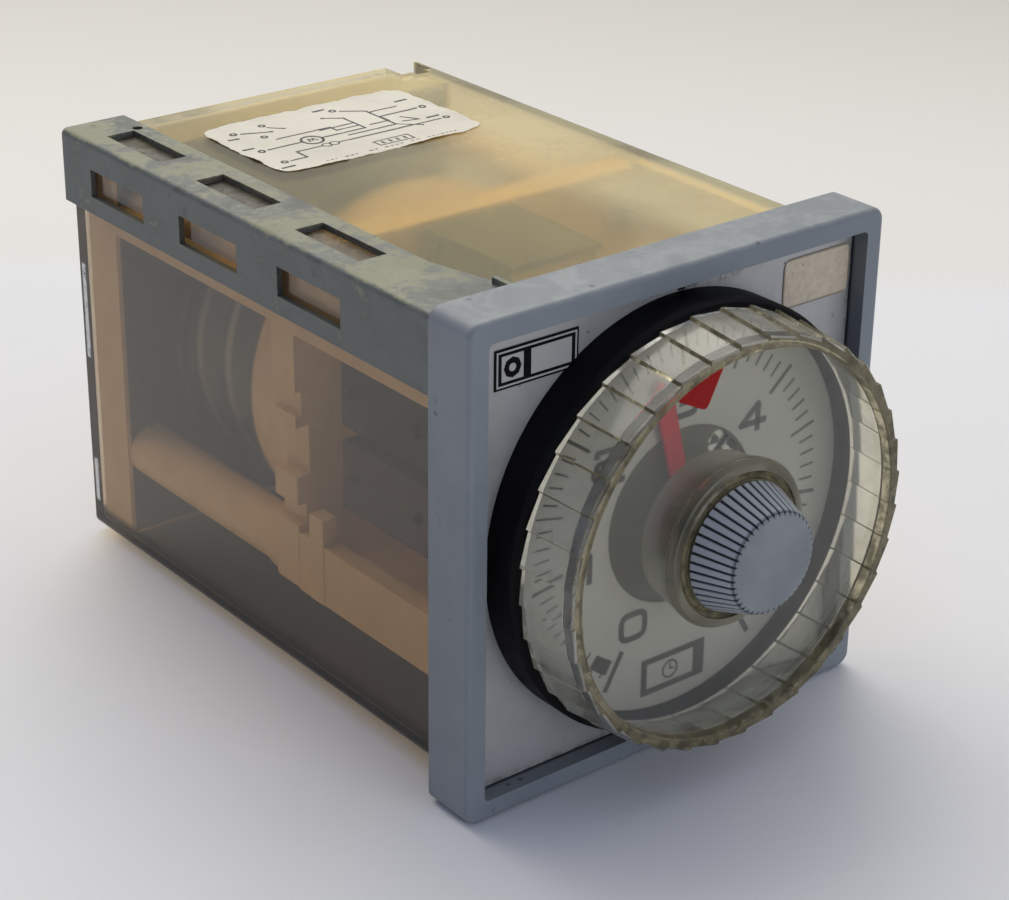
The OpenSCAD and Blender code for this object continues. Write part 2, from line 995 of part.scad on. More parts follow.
bezel();
face_plate();
dial_surround();
badge();
badge_print();
tag_sticker();
index_mark();
clear_case();
clamp_strip_upper();
clamp_strip_lower();
wiring_label();
label_print();
front_plate();
mid_plate();
rear_plate();
spacer_posts();
lower_rails();
top_rails();
shelf();
scale_disc();
scale_print();
hub_plate();
dial_cap();
center_knob();
set_pointer();
set_spindle();
stop_cam();
elapsed_hand();
hand_sleeve();
main_wheel();
intermediate_wheels();
intermediate_arbor();
indicator_wheel();
indicator_stripe();
indicator_arbor();
drive_gears();
drive_arbor();
motor_can();
motor_bridge();
stator_coil();
rotor();
rotor_shaft();
switch_upper();
switch_lower();
switch_terminals();
lever_upper();
plunger_upper();
lever_lower();
plunger_lower();
clutch_bobbin();
clutch_winding();
clutch_yoke();
clutch_core();
clutch_armature();
plug_base();
plug_pins();
case_screws();
post_nuts();
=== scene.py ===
import bpy
import bmesh
import math
import random
from mathutils import Matrix, Vector, noise


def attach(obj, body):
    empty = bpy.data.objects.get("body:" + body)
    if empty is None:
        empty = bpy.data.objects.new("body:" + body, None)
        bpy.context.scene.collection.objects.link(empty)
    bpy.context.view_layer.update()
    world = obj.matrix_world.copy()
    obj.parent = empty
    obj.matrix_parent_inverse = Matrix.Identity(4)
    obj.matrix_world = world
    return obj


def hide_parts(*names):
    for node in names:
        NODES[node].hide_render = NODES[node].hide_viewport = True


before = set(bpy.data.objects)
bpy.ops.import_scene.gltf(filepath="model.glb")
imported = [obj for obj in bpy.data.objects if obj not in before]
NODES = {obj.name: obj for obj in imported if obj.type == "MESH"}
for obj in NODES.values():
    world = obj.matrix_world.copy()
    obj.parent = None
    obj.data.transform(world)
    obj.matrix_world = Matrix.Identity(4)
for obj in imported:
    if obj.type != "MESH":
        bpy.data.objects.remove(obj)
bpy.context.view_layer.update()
scene = bpy.context.scene
MM = 0.001

# places and sizes in mm, in the frame of the CAD: x to the right, y to the rear, z up
FACE_Y = -5.6

KNOB_REAR = -20.5
KNOB_FRONT = -26.2
KNOB_REAR_R = 9.3
KNOB_FRONT_R = 7.4

# middle of the wheel behind the small window, and the pitch of the beads round the motor can
WHEEL_X = 8.4
WHEEL_Z = 8.0
BEAD_PITCH = 7.8

# middle and size of the paper tag on the face
TAG_X = 26.2
TAG_Z = 27.2
TAG_W = 12.6
TAG_H = 7.2

# where the red arrow and the tinted hand point at rest, in degrees clockwise from the top
SET_DEG = -18.0
HAND_DEG = -15.0

# ---------------------------------------------------------------- node helpers


class Mat:
    """A node material. Sockets can be numbers, colours or other nodes' outputs."""

    def __init__(self, name):
        self.m = bpy.data.materials.new(name)
        self.m.use_nodes = True
        self.t = self.m.node_tree
        self.t.nodes.clear()
        self.out = self.t.nodes.new("ShaderNodeOutputMaterial")
        self._obj = None

    def put(self, socket, value):
        if isinstance(value, bpy.types.NodeSocket):
            self.t.links.new(value, socket)
        elif isinstance(value, (tuple, list)) and len(value) == 3 and socket.type == "RGBA":
            socket.default_value = (*value, 1.0)
        else:
            socket.default_value = value

    def node(self, kind, inputs=None, out=0, **props):
        n = self.t.nodes.new(kind)
        for k, v in props.items():
            setattr(n, k, v)
        for k, v in (inputs or {}).items():
            self.put(n.inputs[k], v)
        return n.outputs[out]

    def obj(self):
        if self._obj is None:
            self._obj = self.node("ShaderNodeTexCoord", out="Object")
        return self._obj

    def xyz(self):
        n = self.t.nodes.new("ShaderNodeSeparateXYZ")
        self.t.links.new(self.obj(), n.inputs[0])
        return n.outputs[0], n.outputs[1], n.outputs[2]

    def coords(self, stretch=None, offset=(0, 0, 0)):
        if stretch is None and offset == (0, 0, 0):
            return self.obj()
        return self.node("ShaderNodeMapping", {0: self.obj(), 1: offset, 3: stretch or (1, 1, 1)})

    def noise(self, scale, detail=3.0, rough=0.55, stretch=None, offset=(0, 0, 0), warp=0.0):
        ins = {"Vector": self.coords(stretch, offset), "Scale": scale, "Detail": detail,
               "Roughness": rough, "Distortion": warp}
        return self.node("ShaderNodeTexNoise", ins, out="Fac")

    def voronoi(self, scale, out="Distance", stretch=None):
        return self.node("ShaderNodeTexVoronoi", {"Vector": self.coords(stretch), "Scale": scale}, out=out)

    def math(self, op, a, b=0.0):
        return self.node("ShaderNodeMath", {0: a, 1: b}, operation=op)

    def sine(self, a):
        return self.node("ShaderNodeMath", {0: a}, operation="SINE")

    def radius(self, a, b):
        return self.math("SQRT", self.math("ADD", self.times(a, a), self.times(b, b)))

    def times(self, *values):
        """The product of two or more values."""
        result = values[0]
        for value in values[1:]:
            result = self.math("MULTIPLY", result, value)
        return result

    def ramp(self, value, lo, hi, a=0.0, b=1.0, smooth=True):
        ins = {"Value": value, "From Min": lo, "From Max": hi, "To Min": a, "To Max": b}
        return self.node("ShaderNodeMapRange", ins, interpolation_type="SMOOTHSTEP" if smooth else "LINEAR")

    def mix(self, fac, a, b):
        n = self.t.nodes.new("ShaderNodeMix")
        n.data_type = "RGBA"
        self.put(n.inputs[0], fac)
        self.put(n.inputs[6], a)
        self.put(n.inputs[7], b)
        return n.outputs[2]

    def bump(self, height, strength=0.3, distance=0.0002, normal=None):
        ins = {"Height": height, "Strength": strength, "Distance": distance}
        if normal is not None:
            ins["Normal"] = normal
        return self.node("ShaderNodeBump", ins)

    def principled(self, **ins):
        return self.node("ShaderNodeBsdfPrincipled", {k.replace("_", " "): v for k, v in ins.items()})

    def mix_shader(self, fac, a, b):
        return self.node("ShaderNodeMixShader", {0: fac, 1: a, 2: b})

    def done(self, shader):
        self.t.links.new(shader, self.out.inputs["Surface"])
        return self.m


def plastic(name, base, dark, rough=0.45, grain=900.0, bump=0.12, patch=60.0, specular=0.5):
    """Moulded plastic: slow colour patches, fine grain, uneven gloss."""
    m = Mat(name)
    slow = m.noise(patch, 4.0)
    fine = m.noise(grain, 2.0)
    both = m.math("ADD", m.times(slow, 0.8), m.times(fine, 0.2))
    col = m.mix(m.ramp(both, 0.28, 0.72), dark, base)
    r = m.ramp(m.noise(patch * 3, 3.0, offset=(0.3, 0.1, 0.2)), 0.3, 0.7, rough + 0.1, rough - 0.06)
    return m.done(m.principled(Base_Color=col, Roughness=r, Normal=m.bump(fine, bump, 0.0001),
                               Specular_IOR_Level=specular))


def metal(name, base, dark, rough=0.35, scale=300.0, stretch=(1, 1, 1), bump=0.08, patch=80.0):
    """Bare or plated metal with fine marks and dull patches."""
    m = Mat(name)
    marks = m.noise(scale, 5.0, 0.65, stretch=stretch)
    slow = m.noise(patch, 3.0)
    col = m.mix(m.ramp(slow, 0.32, 0.68), dark, base)
    r = m.ramp(m.math("ADD", marks, slow), 0.7, 1.3, rough - 0.08, rough + 0.14)
    sh = m.principled(Base_Color=col, Metallic=1.0, Roughness=r, Normal=m.bump(marks, bump, 0.0001))
    return m.done(sh)


# ---------------------------------------------------------------- the materials

def bezel_material():
    """Blue-grey moulding with worn, soiled and knocked places."""
    m = Mat("bezel_blue")
    x, y, z = m.xyz()
    slow = m.noise(45.0, 5.0, 0.6)
    fine = m.noise(1600.0, 2.0)
    grime = m.noise(140.0, 6.0, 0.7, warp=0.6)
    blue = m.mix(m.ramp(slow, 0.35, 0.65), (0.195, 0.220, 0.238), (0.225, 0.250, 0.268))
    # the top side is rubbed paler and a little yellow in patches
    top = m.times(m.ramp(z, 0.0352, 0.0360), m.ramp(grime, 0.42, 0.62))
    rubbed = m.mix(m.times(top, 0.30), blue, (0.36, 0.375, 0.355))
    dirt = m.times(m.ramp(grime, 0.60, 0.72), 0.35)
    col = m.mix(dirt, rubbed, (0.10, 0.11, 0.12))
    # small dark knocks, here and there
    where = m.ramp(m.noise(170.0, 2.0, offset=(0.04, 0.01, 0.0)), 0.57, 0.63)
    dots = m.times(m.ramp(m.voronoi(300.0), 0.17, 0.08), where)
    col = m.mix(m.times(dots, 0.8), col, (0.045, 0.048, 0.050))
    # a dark line where the bars meet the face: painted shade in the crease
    reach = m.math("MAXIMUM", m.math("ABSOLUTE", x), m.math("ABSOLUTE", z))
    crease_shade = m.times(m.ramp(y, FACE_Y * MM - 0.0006, FACE_Y * MM - 0.0001), m.ramp(reach, 0.0345, 0.0340))
    col = m.mix(m.times(crease_shade, 0.85), col, (0.030, 0.031, 0.031))
    rough = m.ramp(grime, 0.3, 0.7, 0.52, 0.36)
    n = m.bump(fine, 0.10, 0.00006, m.bump(slow, 0.15, 0.0006))
    return m.done(m.principled(Base_Color=col, Roughness=rough, Normal=n))


def face_material():
    """Silver-grey face with fine grain, dark specks and dirt round its rim."""
    m = Mat("face_silver")
    x, _, z = m.xyz()
    fine = m.noise(2600.0, 2.0, stretch=(1, 1, 0.2))
    slow = m.noise(38.0, 4.0)
    specks = m.voronoi(420.0)
    keep = m.noise(260.0, 2.0, offset=(0.02, 0, 0.05))
    dots = m.times(m.ramp(specks, 0.20, 0.10), m.ramp(keep, 0.58, 0.64))
    col = m.mix(m.ramp(slow, 0.3, 0.7), (0.40, 0.40, 0.385), (0.50, 0.50, 0.485))
    col = m.mix(m.times(dots, 0.85), col, (0.04, 0.04, 0.038))
    # dirt gathers in the corners by the rim and thickens near the index mark
    reach = m.math("MAXIMUM", m.math("ABSOLUTE", x), m.math("ABSOLUTE", z))
    grime = m.noise(620.0, 5.0, 0.7)
    rim = m.times(m.ramp(reach, 0.0314, 0.0330), m.ramp(grime, 0.42, 0.62))
    away = m.math("ABSOLUTE", m.math("SUBTRACT", x, 0.004))
    mark = m.times(m.ramp(away, 0.016, 0.0), m.ramp(z, 0.0300, 0.0320))
    dirt = m.math("MAXIMUM", m.times(rim, 0.55), m.times(mark, m.ramp(grime, 0.52, 0.60)))
    col = m.mix(dirt, col, (0.055, 0.052, 0.046))
    return m.done(m.principled(Base_Color=col, Metallic=0.35, Roughness=m.ramp(fine, 0.3, 0.7, 0.42, 0.56),
                               Normal=m.bump(fine, 0.10, 0.00004)))


def galvanised_material():
    """Dull zinc with spangles, stains, pale oxide and pits."""
    m = Mat("galvanised")
    _, y, z = m.xyz()
    spangle = m.voronoi(330.0, out="Color", stretch=(1.0, 0.55, 1.0))
    grey = m.node("ShaderNodeSeparateColor", {0: spangle})
    scratch = m.noise(900.0, 3.0, 0.7, stretch=(1, 0.08, 1))
    stain = m.noise(95.0, 8.0, 0.74, warp=0.25)
    blotch = m.noise(420.0, 5.0, 0.68)
    # the flange on top is dulled by pale oxide, a little more towards the rear
    up = m.ramp(m.math("ABSOLUTE", z), 0.0330, 0.0336)
    rear = m.ramp(y, 0.020, 0.085, -0.010, 0.030)
    level = m.math("ADD", stain, m.math("ADD", m.times(up, 0.162), m.times(rear, up)))
    oxide = m.ramp(m.math("ADD", level, m.times(blotch, 0.35)), 0.77, 0.90)
    col = m.mix(grey, (0.120, 0.130, 0.122), (0.165, 0.175, 0.163))
    col = m.mix(m.times(m.ramp(stain, 0.46, 0.34), 0.75), col, (0.075, 0.078, 0.070))
    col = m.mix(m.times(oxide, 0.9), col, (0.26, 0.26, 0.165))
    pits = m.times(m.ramp(blotch, 0.64, 0.74), m.ramp(stain, 0.42, 0.58))
    col = m.mix(m.times(pits, 0.8), col, (0.030, 0.030, 0.024))
    rough = m.ramp(m.math("ADD", m.times(grey, 0.3), stain), 0.3, 1.0, 0.38, 0.62)
    metal_part = m.ramp(oxide, 0.0, 1.0, 0.45, 0.05)
    n = m.bump(scratch, 0.10, 0.00008, m.bump(oxide, 0.35, 0.00010))
    return m.done(m.principled(Base_Color=col, Metallic=metal_part, Roughness=rough, Normal=n))


def lets_light(m, shader, tint):
    """Clear plastic that lamps and soft light pass through, so that what is inside is lit."""
    lp = m.t.nodes.new("ShaderNodeLightPath")
    either = m.math("MAXIMUM", lp.outputs["Is Shadow Ray"], lp.outputs["Is Diffuse Ray"])
    clear = m.node("ShaderNodeBsdfTransparent", {"Color": tint})
    return m.mix_shader(either, shader, clear)


def case_material():
    """Smoked walls, a hazy yellow roof and thick dark corners, with painted light: a roof brighter than the
    walls, painted shade low down, and two painted highlights.
    """
    m = Mat("case_smoked")
    x, y, z = m.xyz()
    haze = m.noise(28.0, 5.0, 0.6)
    fine = m.noise(520.0, 4.0, 0.7)
    scratch = m.noise(1500.0, 3.0, 0.6, stretch=(0.15, 0.05, 1.0))
    top = m.ramp(z, 0.0310, 0.0326)

    # the moulded corners at the bottom and along the top's far edge are thick and dark; the bottom band also
    # carries painted contact shade and a painted reflection of the shaded floor
    low = m.ramp(z, -0.0286, -0.0302)
    ridge = m.times(m.ramp(x, 0.0312, 0.0322), m.ramp(z, 0.0290, 0.0310))
    corner = m.math("MAXIMUM", low, ridge)
    # the roof is tinted paler and yellower than the walls: painted light, with the roof lit and the walls in
    # shade
    amber = m.mix(m.ramp(x, -0.012, 0.0), (0.82, 0.73, 0.40), (0.93, 0.81, 0.42))
    tint = m.mix(corner, m.mix(top, (0.76, 0.68, 0.565), amber), (0.22, 0.175, 0.11))
    clear = {"Base_Color": tint, "Transmission_Weight": 1.0, "Normal": m.bump(scratch, 0.02, 0.00004)}
    walls = m.principled(Roughness=0.075, IOR=1.42, **clear)
    roof = m.principled(Roughness=0.20, IOR=1.22, **clear)
    glass = m.mix_shader(m.ramp(z, 0.0290, 0.0300), walls, roof)

    # the roof's haze is yellowed plastic, darker brown towards the strip and pale yellow towards the far
    # edge, where it is also a painted reflection of the bright backdrop
    yellow = m.mix(m.ramp(x, -0.020, 0.028), (0.20, 0.175, 0.075), (0.92, 0.81, 0.43))
    grime = m.mix(m.ramp(fine, 0.35, 0.65), (0.055, 0.050, 0.038), (0.17, 0.155, 0.12))
    # under the strip the roof is darkened: grime with painted shade from the strip above it
    under = m.times(top, m.ramp(x, -0.0232, -0.0244))
    # the walls' haze is dark and the roof's is pale: painted shade on the walls, painted light on the roof
    pale = m.mix(under, m.mix(top, (0.085, 0.079, 0.068), yellow), grime)
    milky = m.principled(Base_Color=m.mix(corner, pale, (0.040, 0.032, 0.020)), Roughness=0.4)

    # how much of the haze shows: thin on the walls, thicker on the roof's rear and its right front
    cloud = m.math("ADD", m.times(haze, 0.8), m.times(fine, 0.2))
    roof_haze = m.times(top, m.ramp(haze, 0.35, 0.65, 0.06, 0.26), m.ramp(y, 0.020, 0.050, 0.25, 1.0))
    right_front = m.times(top, m.ramp(x, 0.006, 0.018), m.ramp(y, 0.038, 0.026))
    edge_line = m.times(m.ramp(x, 0.0328, 0.0333), m.ramp(z, 0.0300, 0.0315))
    amount = m.math("ADD", m.ramp(cloud, 0.3, 0.7, 0.02, 0.09), roof_haze)
    for mask, strength in ((right_front, 0.34), (under, 0.45), (corner, 0.35), (edge_line, 0.50)):
        amount = m.math("ADD", amount, m.times(mask, strength))
    body = m.mix_shader(amount, glass, milky)

    # two pale painted highlights on the left wall, close to its rear edge, where the corner reflects the
    # light
    bars = m.math("MAXIMUM", m.times(m.ramp(z, 0.0128, 0.0122), m.ramp(z, -0.0034, -0.0028)),
                  m.times(m.ramp(z, -0.0203, -0.0209), m.ramp(z, -0.0282, -0.0276)))
    strip = m.times(m.ramp(y, 0.0912, 0.0916), m.ramp(y, 0.0926, 0.0922))
    rear_edge_highlight = m.times(bars, strip, m.ramp(x, -0.0320, -0.0326), m.ramp(fine, 0.25, 0.50))
    body = m.mix_shader(rear_edge_highlight, body, m.principled(Base_Color=(0.86, 0.85, 0.80), Roughness=0.5))
    return m.done(lets_light(m, body, m.mix(top, (0.90, 0.84, 0.70), (0.95, 0.86, 0.56))))


def cap_material():
    """Clear plastic that has yellowed and gone a little cloudy."""
    m = Mat("dial_clear")
    scratch = m.noise(900.0, 3.0, 0.6, stretch=(1.0, 0.2, 1.0))
    haze = m.noise(90.0, 4.0)
    glass = m.principled(Base_Color=(0.955, 0.935, 0.845), Roughness=0.06, IOR=1.40, Transmission_Weight=1.0,
                         Normal=m.bump(scratch, 0.02, 0.00004))
    milky = m.principled(Base_Color=(0.50, 0.50, 0.45), Roughness=0.3)
    body = m.mix_shader(m.ramp(haze, 0.3, 0.7, 0.01, 0.045), glass, milky)
    return m.done(lets_light(m, body, (0.96, 0.95, 0.90)))


def cap_skirt_material():
    """The outer facets and the lip: the same plastic, thicker and more amber."""
    m = Mat("dial_clear_skirt")
    haze = m.noise(150.0, 5.0, 0.65)
    streak = m.noise(500.0, 3.0, 0.6, stretch=(1.0, 0.12, 1.0))
    glass = m.principled(Base_Color=(0.95, 0.925, 0.81), Roughness=0.09, IOR=1.38, Transmission_Weight=1.0,
                         Normal=m.bump(streak, 0.04, 0.00005))
    cream = m.mix(m.ramp(haze, 0.35, 0.65), (0.34, 0.335, 0.28), (0.56, 0.555, 0.49))
    milky = m.principled(Base_Color=cream, Roughness=0.32)
    body = m.mix_shader(m.ramp(haze, 0.32, 0.68, 0.10, 0.26), glass, milky)
    return m.done(lets_light(m, body, (0.58, 0.57, 0.52)))


def cap_boss_material():
    """Cloudy cream boss round the knob."""
    m = Mat("dial_clear_boss")
    haze = m.noise(160.0, 5.0, 0.6)
    glass = m.principled(Base_Color=(0.86, 0.82, 0.62), Roughness=0.28, IOR=1.36, Transmission_Weight=1.0)
    cream = m.mix(m.ramp(haze, 0.3, 0.7), (0.150, 0.145, 0.105), (0.30, 0.285, 0.21))
    milky = m.principled(Base_Color=cream, Roughness=0.35)
    body = m.mix_shader(m.ramp(haze, 0.3, 0.7, 0.26, 0.46), glass, milky)
    return m.done(lets_light(m, body, (0.90, 0.88, 0.76)))


def cap_edge_material():
    """Scuffed, dirty steps and rims of the clear dial."""
    m = Mat("dial_clear_edge")
    dirt = m.noise(420.0, 4.0, 0.65)
    glass = m.principled(Base_Color=(0.82, 0.72, 0.42), Roughness=0.18, IOR=1.42, Transmission_Weight=1.0)
    brown = m.mix(m.ramp(dirt, 0.35, 0.65), (0.060, 0.047, 0.018), (0.30, 0.245, 0.115))
    grime = m.principled(Base_Color=brown, Roughness=0.35)
    body = m.mix_shader(m.ramp(dirt, 0.30, 0.70, 0.85, 0.35), glass, grime)
    return m.done(lets_light(m, body, (0.40, 0.38, 0.30)))


def hand_material():
    """Tinted crimson plastic that lets a little light through."""
    m = Mat("hand_crimson")
    fine = m.noise(700.0, 3.0)
    crimson = m.mix(m.ramp(fine, 0.3, 0.7), (0.52, 0.004, 0.020), (0.64, 0.008, 0.030))
    return m.done(m.principled(Base_Color=crimson, Roughness=0.4, Transmission_Weight=0.12, IOR=1.3,
                               Specular_IOR_Level=0.25))


def knob_material():
    """Satin blue-grey moulding: painted shade darkens the bottom of the flutes, and the ridges are paler."""
    m = Mat("knob_blue")
    x, y, z = m.xyz()
    r = m.radius(x, z)
    flank = m.ramp(y, KNOB_FRONT * MM, KNOB_REAR * MM, KNOB_FRONT_R * MM, KNOB_REAR_R * MM, smooth=False)
    depth = m.math("SUBTRACT", flank, r)
    # painted shade: the bottoms of the flutes on the side are darkened almost to black, and the ridges are
    # paler
    side = m.times(m.ramp(y, -26.62 * MM, -26.45 * MM), m.ramp(r, 6.3 * MM, 6.7 * MM))
    deep = m.times(m.ramp(depth, 0.00010, 0.00026), side)
    slow = m.noise(120.0, 5.0, 0.6)
    fine = m.noise(2400.0, 3.0)
    pale_ridges = m.times(m.ramp(depth, 0.00006, 0.00001), side)
    col = m.mix(m.ramp(slow, 0.3, 0.7), (0.180, 0.199, 0.212), (0.232, 0.252, 0.264))
    col = m.mix(m.times(pale_ridges, 0.75), col, (0.47, 0.50, 0.53))
    col = m.mix(m.times(deep, 0.92), col, (0.012, 0.013, 0.015))
    rough = m.ramp(fine, 0.3, 0.7, 0.34, 0.48)
    return m.done(m.principled(Base_Color=col, Roughness=rough, Normal=m.bump(fine, 0.10, 0.00004)))


def can_material():
    """Drawn steel can with dark varnish and rolled beads round it, which carry a painted highlight along
    their crests.
    """
    m = Mat("can_steel")
    _, y, _ = m.xyz()
    slow = m.noise(50.0, 4.0)
    beads = m.sine(m.times(y, 2 * math.pi / (BEAD_PITCH * MM)))
    # painted highlight: a bright line along the crest of each bead
    line = m.ramp(beads, 0.72, 0.98)
    col = m.mix(m.ramp(slow, 0.35, 0.65), (0.035, 0.036, 0.035), (0.085, 0.086, 0.082))
    col = m.mix(m.times(line, 0.8), col, (0.42, 0.41, 0.36))
    return m.done(m.principled(Base_Color=col, Metallic=0.7, Roughness=m.ramp(slow, 0.3, 0.7, 0.30, 0.45),
                               Normal=m.bump(beads, 0.4, 0.0004)))


def rear_plate_material():
    """Tan moulding whose inner face is dark and whose top edge is dark olive."""
    m = Mat("works_tan_rear")
    x, y, z = m.xyz()
    slow = m.noise(60.0, 4.0)
    tan = m.mix(m.ramp(slow, 0.3, 0.7), (0.68, 0.46, 0.26), (0.80, 0.56, 0.33))
    tan = m.mix(m.ramp(z, 0.0296, 0.0304), tan, (0.34, 0.29, 0.15))
    reach = m.math("MAXIMUM", m.math("ABSOLUTE", x), m.math("ABSOLUTE", z))
    dark_inner_face = m.times(m.ramp(y, 0.0836, 0.0832), m.ramp(reach, 0.0306, 0.0302))
    col = m.mix(dark_inner_face, tan, (0.030, 0.028, 0.025))
    return m.done(m.principled(Base_Color=col, Roughness=0.5, Normal=m.bump(slow, 0.1, 0.0002)))


def running_wheel_material():
    """White wheel with dark wedges printed inside its teeth, so that its turning shows."""
    m = Mat("running_wheel")
    x, _, z = m.xyz()
    across, up = m.math("SUBTRACT", x, WHEEL_X * MM), m.math("SUBTRACT", z, WHEEL_Z * MM)
    wave = m.sine(m.times(m.math("ARCTAN2", across, up), 4.0))
    dark = m.times(m.ramp(wave, -0.15, 0.15), m.ramp(m.radius(across, up), 2.5 * MM, 2.3 * MM))
    col = m.mix(dark, (0.88, 0.88, 0.84), (0.012, 0.012, 0.012))
    return m.done(m.principled(Base_Color=col, Roughness=0.45))


def brick(name, rgb, k=0.8, **kw):
    """Plastic whose dark patches are k times its own colour."""
    return plastic(name, rgb, tuple(c * k for c in rgb), **kw)


def sticker_material():
    """Warm paper sticker with a soiled rim and a few dark specks."""
    m = Mat("sticker_beige")
    x, _, z = m.xyz()
    dx = m.math("DIVIDE", m.math("ABSOLUTE", m.math("SUBTRACT", x, TAG_X * MM)), TAG_W / 2 * MM)
    dz = m.math("DIVIDE", m.math("ABSOLUTE", m.math("SUBTRACT", z, TAG_Z * MM)), TAG_H / 2 * MM)
    rim = m.math("MAXIMUM", m.ramp(dx, 0.93, 0.99), m.ramp(dz, 0.88, 0.98))
    fibre = m.noise(900.0, 4.0, 0.6)
    specks = m.ramp(m.noise(1100.0, 2.0, offset=(0.1, 0, 0)), 0.70, 0.76)
    col = m.mix(m.ramp(fibre, 0.3, 0.7), (0.60, 0.51, 0.37), (0.70, 0.61, 0.46))
    col = m.mix(m.times(m.math("MAXIMUM", rim, specks), 0.75), col, (0.16, 0.12, 0.08))
    return m.done(m.principled(Base_Color=col, Roughness=0.7, Normal=m.bump(fibre, 0.2, 0.00004)))


M = {
    "bezel": bezel_material(),
    "face": face_material(),
    "galv": galvanised_material(),
    "case": case_material(),
    "cap": cap_material(),
    "cap_edge": cap_edge_material(),
    "hand": hand_material(),
    "cap_skirt": cap_skirt_material(),
    "cap_boss": cap_boss_material(),
    "knob": knob_material(),
    "black": plastic("ring_black", (0.006, 0.006, 0.007), (0.003, 0.003, 0.004), 0.55, bump=0.1,
                     specular=0.10),
    "print_light": brick("badge_light", (0.50, 0.50, 0.46), 0.85),
    "label_ink": brick("ink_dark", (0.022, 0.022, 0.024), 0.6, rough=0.5),
    "scale_ink": brick("scale_ink", (0.050, 0.050, 0.050), 0.7, rough=0.5),
    "scale": brick("scale_grey", (0.47, 0.47, 0.455), 0.93, rough=0.5, grain=1800.0),
    "olive": brick("hub_olive", (0.085, 0.080, 0.058), 0.8, rough=0.5),
    "frame_olive": brick("frame_olive", (0.050, 0.046, 0.018), 0.8, rough=0.6, specular=0.2),
    "sticker": sticker_material(),
    "wheel": running_wheel_material(),
    "paper": brick("label_paper", (0.80, 0.755, 0.635), 0.86, rough=0.75, grain=2400.0, bump=0.25),
    "tan": plastic("works_tan", (0.80, 0.56, 0.33), (0.68, 0.46, 0.26), 0.45),
    "red": brick("pointer_red", (0.34, 0.003, 0.002), 0.8, rough=0.5, specular=0.15),
    "brass": metal("brass", (0.62, 0.46, 0.20), (0.42, 0.30, 0.13), 0.3),
    "steel": metal("steel", (0.55, 0.55, 0.54), (0.35, 0.35, 0.34), 0.3),
    "can": can_material(),
    "rear_tan": rear_plate_material(),
    "nylon": brick("nylon_white", (0.84, 0.83, 0.76), 0.88, rough=0.4),
    "ferrite": brick("ferrite", (0.07, 0.07, 0.075), 0.7, rough=0.55),
    "winding": metal("copper_wire", (0.45, 0.18, 0.08), (0.28, 0.10, 0.05), 0.35, scale=1500.0,
                     stretch=(0.05, 1, 0.05)),
    "tape": brick("winding_tape", (0.13, 0.125, 0.07), 0.7, rough=0.5),
    "bobbin": brick("bobbin_dark", (0.06, 0.06, 0.05), 0.7, rough=0.45),
    "switch": brick("switch_black", (0.012, 0.012, 0.011), 0.7, rough=0.5, specular=0.15),
    "brown": brick("switch_brown", (0.060, 0.036, 0.022), 0.75, rough=0.5, specular=0.15),
    "plunger": brick("plunger_red", (0.50, 0.05, 0.03), 0.85, rough=0.35),
}

USE = {
    "bezel": "bezel",
    "face_plate": "face",
    "dial_surround plug_base index_mark indicator_stripe badge": "black",
    "badge_print": "print_light",
    "tag_sticker": "sticker",
    "clear_case": "case",
    "clamp_strip_upper clamp_strip_lower": "galv",
    "wiring_label": "paper",
    "label_print": "label_ink",
    "dial_cap": "cap",
    "center_knob": "knob",
    "set_pointer": "red",
    "elapsed_hand": "hand",
    "scale_disc": "scale",
    "scale_print": "scale_ink",
    "hub_plate": "olive",
    "front_plate mid_plate spacer_posts lower_rails top_rails shelf": "tan",
    "rear_plate": "rear_tan",
    "motor_bridge clutch_core clutch_armature plug_pins case_screws post_nuts intermediate_arbor "
    "indicator_arbor drive_arbor rotor_shaft lever_upper lever_lower": "steel",
    "set_spindle hand_sleeve main_wheel drive_gears switch_terminals": "brass",
    "stop_cam intermediate_wheels": "nylon",
    "indicator_wheel": "wheel",
    "motor_can": "can",
    "rotor": "ferrite",
    "stator_coil": "winding",
    "clutch_yoke": "frame_olive",
    "clutch_winding": "tape",
    "clutch_bobbin": "bobbin",
    "switch_upper": "switch",
    "switch_lower": "brown",
    "plunger_upper plunger_lower": "plunger",
}
for names, key in USE.items():
    for n in names.split():
        NODES[n].data.materials.clear()
        NODES[n].data.materials.append(M[key])


# ---------------------------------------------------------------- pieces made in mesh code

def set_mesh(name, verts, faces, mats, body, replaces=(), face_mats=None, sharp=None):
    """A piece from points in mm, which rides on a body and stands in for the CAD nodes that it replaces."""
    me = bpy.data.meshes.new(name)
    me.from_pydata([tuple(c * MM for c in v) for v in verts], [], faces)
    for m in mats:
        me.materials.append(m)
    if face_mats:
        me.polygons.foreach_set("material_index", face_mats)
    me.update()
    if sharp is not None:
        me.shade_smooth()
        me.set_sharp_from_angle(angle=math.radians(sharp))
    ob = bpy.data.objects.new(name, me)
    scene.collection.objects.link(ob)
    bm = bmesh.new()
    bm.from_mesh(me)
    bmesh.ops.recalc_face_normals(bm, faces=bm.faces)
    bm.to_mesh(me)
    bm.free()
    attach(ob, body)
    if replaces:
        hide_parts(*replaces)
    return ob


